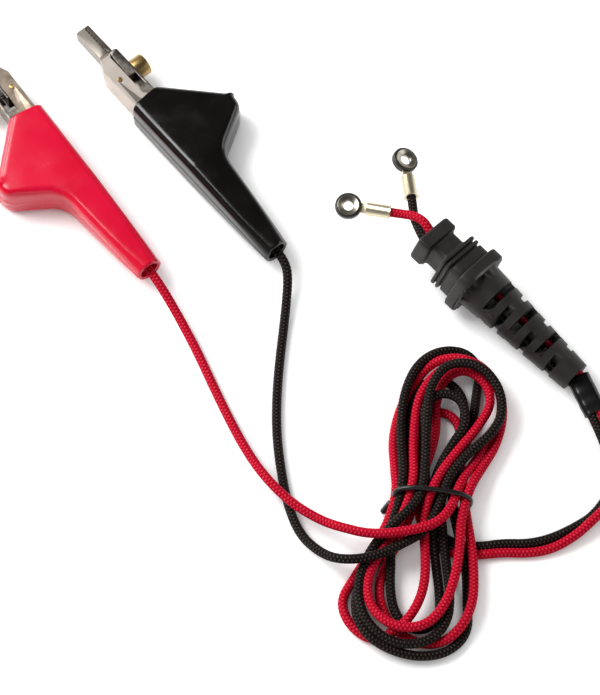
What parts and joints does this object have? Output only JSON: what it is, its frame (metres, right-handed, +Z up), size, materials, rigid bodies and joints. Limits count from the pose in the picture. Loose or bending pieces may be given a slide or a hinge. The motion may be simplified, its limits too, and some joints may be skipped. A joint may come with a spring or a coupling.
{
  "type": "test lead set",
  "caption": "Battery test cord set: spring clips with nail contacts in vinyl boots, braided cords in a tied hank, slotted strain relief and ring terminals.",
  "frame": {"origin": "on the table, under the middle of the box round the clips, the strain relief and the terminals", "axes": "+Z up from the table, +X along the longest extent of the laid-out set, from the clips to the strain relief's tail"},
  "size_m": [0.2047, 0.2086, 0.0204],
  "materials": {
    "red_vinyl": "glossy soft vinyl",
    "black_vinyl": "glossy soft vinyl",
    "nickel": "nickel plate",
    "steel": "bright",
    "brass": "turned",
    "tinned_brass": "tinned",
    "black_rubber": "satin",
    "grey_rubber": "matt",
    "sleeve_plastic": "glossy",
    "red_braid": "braided",
    "black_braid": "braided"
  },
  "bodies": {
    "cord_set": {"black_anvil": "steel", "black_anvil_rivet": "brass", "black_boot": "black_vinyl", "black_boot_lead": "black_braid", "black_clip_run": "black_braid", "black_fixed_jaw": "nickel", "black_hank": "black_braid", "black_jaw_spring": "steel", "black_pivot_pin": "steel", "black_relief_lead": "black_braid", "black_relief_run": "black_braid", "black_ring_terminal": "tinned_brass", "black_terminal_collar": "black_rubber", "black_terminal_tail": "black_braid", "cord_sleeve": "sleeve_plastic", "hank_tie": "black_rubber", "red_anvil": "steel", "red_anvil_rivet": "brass", "red_boot": "red_vinyl", "red_boot_lead": "red_braid", "red_clip_run": "red_braid", "red_fixed_jaw": "nickel", "red_hank": "red_braid", "red_jaw_spring": "steel", "red_pivot_pin": "steel", "red_relief_lead": "red_braid", "red_relief_run": "red_braid", "red_ring_terminal": "tinned_brass", "red_terminal_collar": "black_rubber", "red_terminal_tail": "red_braid", "strain_relief": "grey_rubber"},
    "red_upper_jaw": {"red_moving_jaw": "nickel", "red_nail_cup": "brass", "red_nails": "steel"},
    "black_upper_jaw": {"black_moving_jaw": "nickel", "black_nail_cup": "brass", "black_nails": "steel"}
  },
  "joints": [
    {"name": "red_jaw_hinge", "type": "hinge", "parent": "cord_set", "child": "red_upper_jaw", "pos_m": [-0.07371, 0.02663, 0.0065], "axis": [0, 0, 1], "range_deg": [0, 16], "stiffness_Nm_per_rad": 0.3, "springref_deg": -28.65, "deforming": ["red_jaw_spring"]},
    {"name": "black_jaw_hinge", "type": "hinge", "parent": "cord_set", "child": "black_upper_jaw", "pos_m": [-0.03551, 0.03263, 0.0065], "axis": [0, 0, -1], "range_deg": [0, 16], "stiffness_Nm_per_rad": 0.3, "springref_deg": -28.65, "deforming": ["black_jaw_spring"]}
  ]
}
